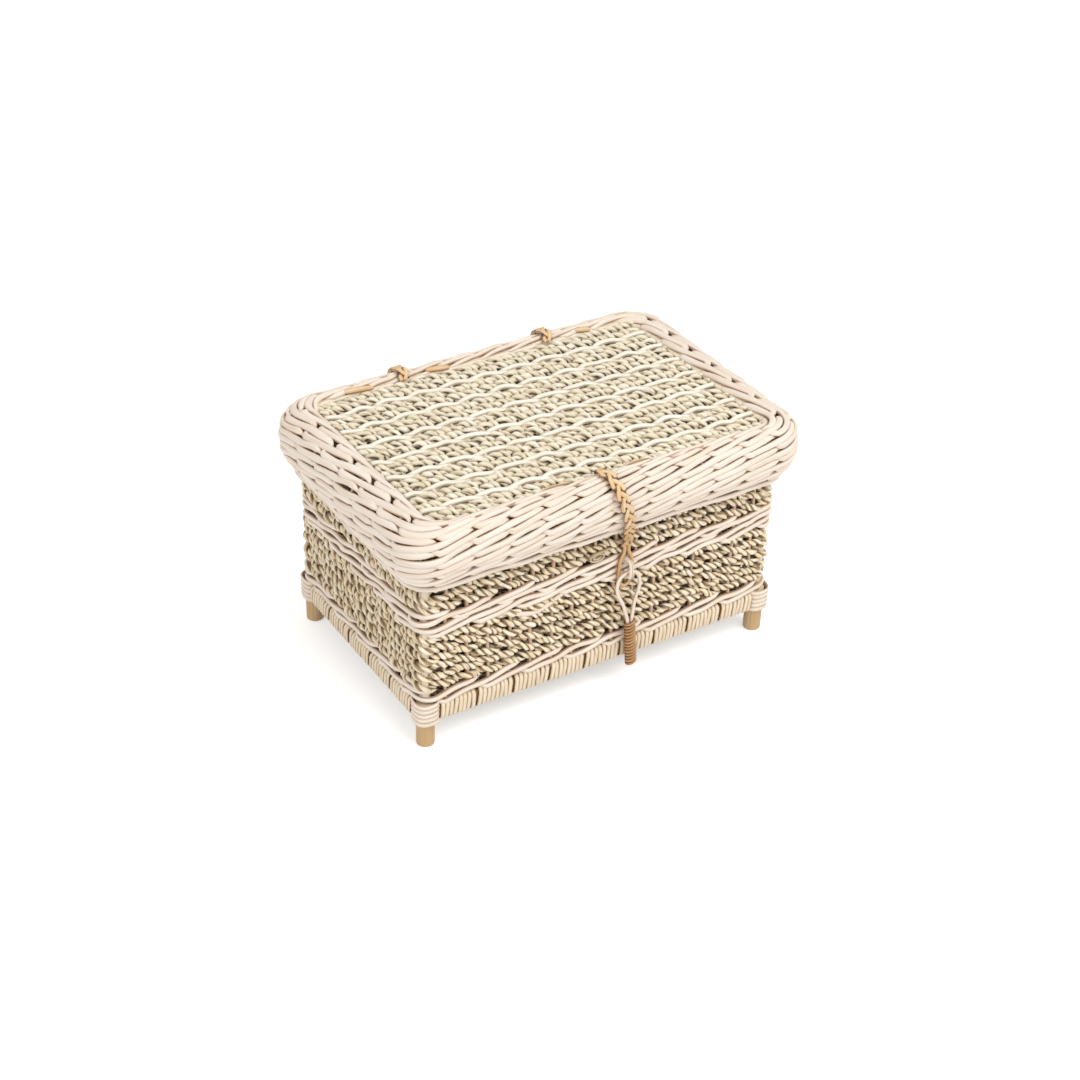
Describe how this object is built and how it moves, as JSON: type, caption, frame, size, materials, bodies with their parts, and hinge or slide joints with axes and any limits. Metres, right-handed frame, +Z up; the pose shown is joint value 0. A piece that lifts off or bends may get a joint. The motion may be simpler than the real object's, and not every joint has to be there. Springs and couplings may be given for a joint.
{
  "type": "woven lidded box",
  "caption": "Rectangular wicker box on round feet, with seagrass walls, white cane borders, a deep hinged lid, and a braided strap held by a staple and a hanging peg.",
  "frame": {"origin": "on the ground under the middle of the box", "axes": "+X to the right along the front, +Y to the back, +Z up"},
  "size_m": [0.322, 0.2187, 0.1859],
  "materials": {
    "pole_wood": "peeled willow pole, smooth and slightly waxy",
    "white_cane": "round rattan core cane, pale and satin",
    "flat_cane": "split flat cane, pale and slightly glossy",
    "seagrass": "twisted seagrass cord, dry and matt, grey green to straw",
    "tan_cane": "braided tan cane, satin"
  },
  "bodies": {
    "basket": {"leg_front_left": "pole_wood", "leg_front_right": "pole_wood", "leg_back_left": "pole_wood", "leg_back_right": "pole_wood", "binding_front_left": "flat_cane", "binding_front_right": "flat_cane", "binding_back_left": "flat_cane", "binding_back_right": "flat_cane", "base_rod_front": "pole_wood", "base_rod_back": "pole_wood", "base_rod_left": "pole_wood", "base_rod_right": "pole_wood", "lashing_front": "flat_cane", "lashing_back": "flat_cane", "lashing_left": "flat_cane", "lashing_right": "flat_cane", "floor_panel": "seagrass", "floor_bearer_left": "pole_wood", "floor_bearer_middle": "pole_wood", "floor_bearer_right": "pole_wood", "base_wale": "white_cane", "lower_seagrass_band": "seagrass", "middle_wale": "white_cane", "upper_seagrass_band": "seagrass", "body_rim": "white_cane", "hinge_loop_left": "tan_cane", "hinge_loop_right": "tan_cane", "clasp_staple": "white_cane"},
    "lid": {"lid_panel": "seagrass", "lid_hoop": "pole_wood", "lid_border": "white_cane", "lid_skirt": "white_cane", "lid_edge_cane": "white_cane", "hinge_braid_left": "tan_cane", "hinge_braid_right": "tan_cane", "strap_top": "tan_cane"},
    "strap": {"strap_tongue": "tan_cane", "strap_eye": "tan_cane"},
    "peg": {"peg_loop": "white_cane", "peg_winding": "tan_cane"}
  },
  "joints": [
    {"name": "lid_hinge", "type": "hinge", "parent": "basket", "child": "lid", "pos_m": [0, 0.0947, 0.1334], "axis": [-1, 0, 0], "range_deg": [0, 100], "deforming": ["strap_eye"]},
    {"name": "strap_swing", "type": "hinge", "parent": "lid", "child": "strap", "pos_m": [0.013, -0.09884, 0.13203], "axis": [-1, 0, 0], "range_deg": [0, 100], "deforming": ["strap_eye"]},
    {"name": "peg_swing", "type": "hinge", "parent": "basket", "child": "peg", "pos_m": [0.014, -0.09715, 0.0978], "axis": [-1, 0, 0], "range_deg": [0, 85]}
  ]
}
